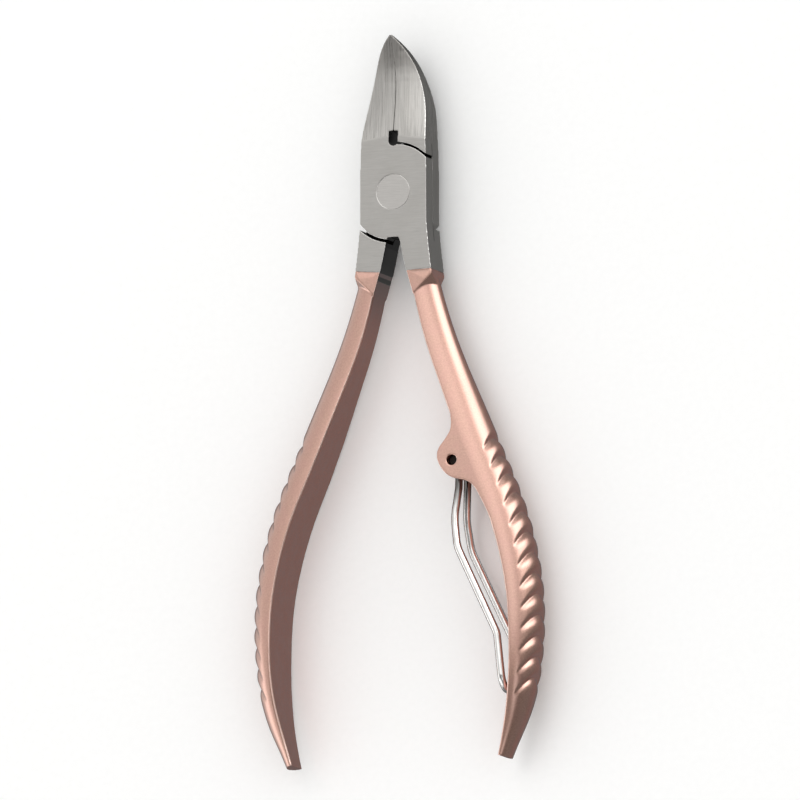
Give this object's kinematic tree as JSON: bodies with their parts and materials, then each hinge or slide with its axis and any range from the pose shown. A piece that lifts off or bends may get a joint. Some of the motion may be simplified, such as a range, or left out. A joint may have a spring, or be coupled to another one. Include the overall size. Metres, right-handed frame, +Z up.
{
  "type": "cuticle nipper",
  "caption": "Hand nipper for trimming cuticles: two lap-jointed steel levers on a flush rivet, ribbed lacquered handles and a wire spring that swings out from one handle.",
  "frame": {"origin": "middle of the tool's footprint, on the surface that it lies on", "axes": "+Y along the tool from the handle ends to the jaw tips, +X across it towards the handle that carries the spring, +Z up, out of the front face"},
  "size_m": [0.0504, 0.1208, 0.0104],
  "materials": {
    "tool_steel": "satin ground and brushed stainless steel",
    "handle_lacquer": "satin metallic rose lacquer on steel",
    "rivet_steel": "ground flush with the joint",
    "spring_wire": "bright polished spring wire",
    "pin_steel": "dark oiled steel"
  },
  "bodies": {
    "front_half": {"front_lever": "tool_steel", "front_handle_coating": "handle_lacquer", "pivot_rivet": "rivet_steel", "spring_pin": "pin_steel"},
    "rear_half": {"rear_lever": "tool_steel", "rear_handle_coating": "handle_lacquer"},
    "spring": {"return_spring": "spring_wire"}
  },
  "joints": [
    {"name": "lever_pivot", "type": "hinge", "parent": "front_half", "child": "rear_half", "pos_m": [0, 0.03419, 0.0052], "axis": [0, 0, -1], "range_deg": [0, 30]},
    {"name": "spring_swing", "type": "hinge", "parent": "front_half", "child": "spring", "pos_m": [0.01095, -0.01111, 0.0052], "axis": [0, 0, -1], "range_deg": [0, 64.5]}
  ]
}
